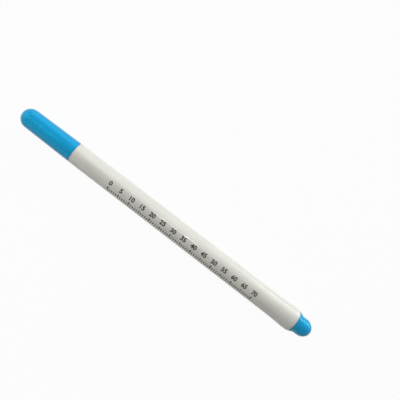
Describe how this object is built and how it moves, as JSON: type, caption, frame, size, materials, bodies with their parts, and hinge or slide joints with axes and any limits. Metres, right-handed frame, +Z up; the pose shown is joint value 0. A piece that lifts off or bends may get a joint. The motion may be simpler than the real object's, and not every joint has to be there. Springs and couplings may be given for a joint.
{
  "type": "water-soluble fabric marker",
  "caption": "Capped felt-tip marker for cloth: slim drafted barrel, pull-off domed cap with an inner seal, vented nib holder, fibre nib, ink reservoir and necked tail plug.",
  "frame": {"origin": "centre of the underside: midway between the cap's end and the tail plug's end, on the surface the pen lies on", "axes": "+X along the pen from the cap towards the tail plug, +Z up, -Y is the side that the print leans towards"},
  "size_m": [0.142, 0.0098, 0.0097],
  "materials": {
    "white_plastic": "smooth satin-gloss injection-moulded polypropylene, warm white",
    "cyan_plastic": "gloss injection-moulded polypropylene, bright light blue, very slightly translucent",
    "holder_plastic": "satin injection-moulded polypropylene, white",
    "seal_plastic": "soft milky polyethylene",
    "nib_fibre": "dense bonded fibre soaked with light-blue ink",
    "reservoir_fibre": "loose bonded fibre soaked with light-blue ink",
    "wrap_film": "clear polypropylene film",
    "print_ink": "thin black pad print on the barrel"
  },
  "bodies": {
    "barrel": {"barrel": "white_plastic", "nib_holder": "holder_plastic", "nib": "nib_fibre", "ink_reservoir": "reservoir_fibre", "reservoir_film": "wrap_film", "tail_plug": "cyan_plastic"},
    "cap": {"cap_shell": "cyan_plastic", "cap_inner_seal": "seal_plastic"}
  },
  "joints": [
    {"name": "cap_pull", "type": "slide", "parent": "barrel", "child": "cap", "axis": [-1, 0, 0], "range_m": [0, 0.03]}
  ]
}
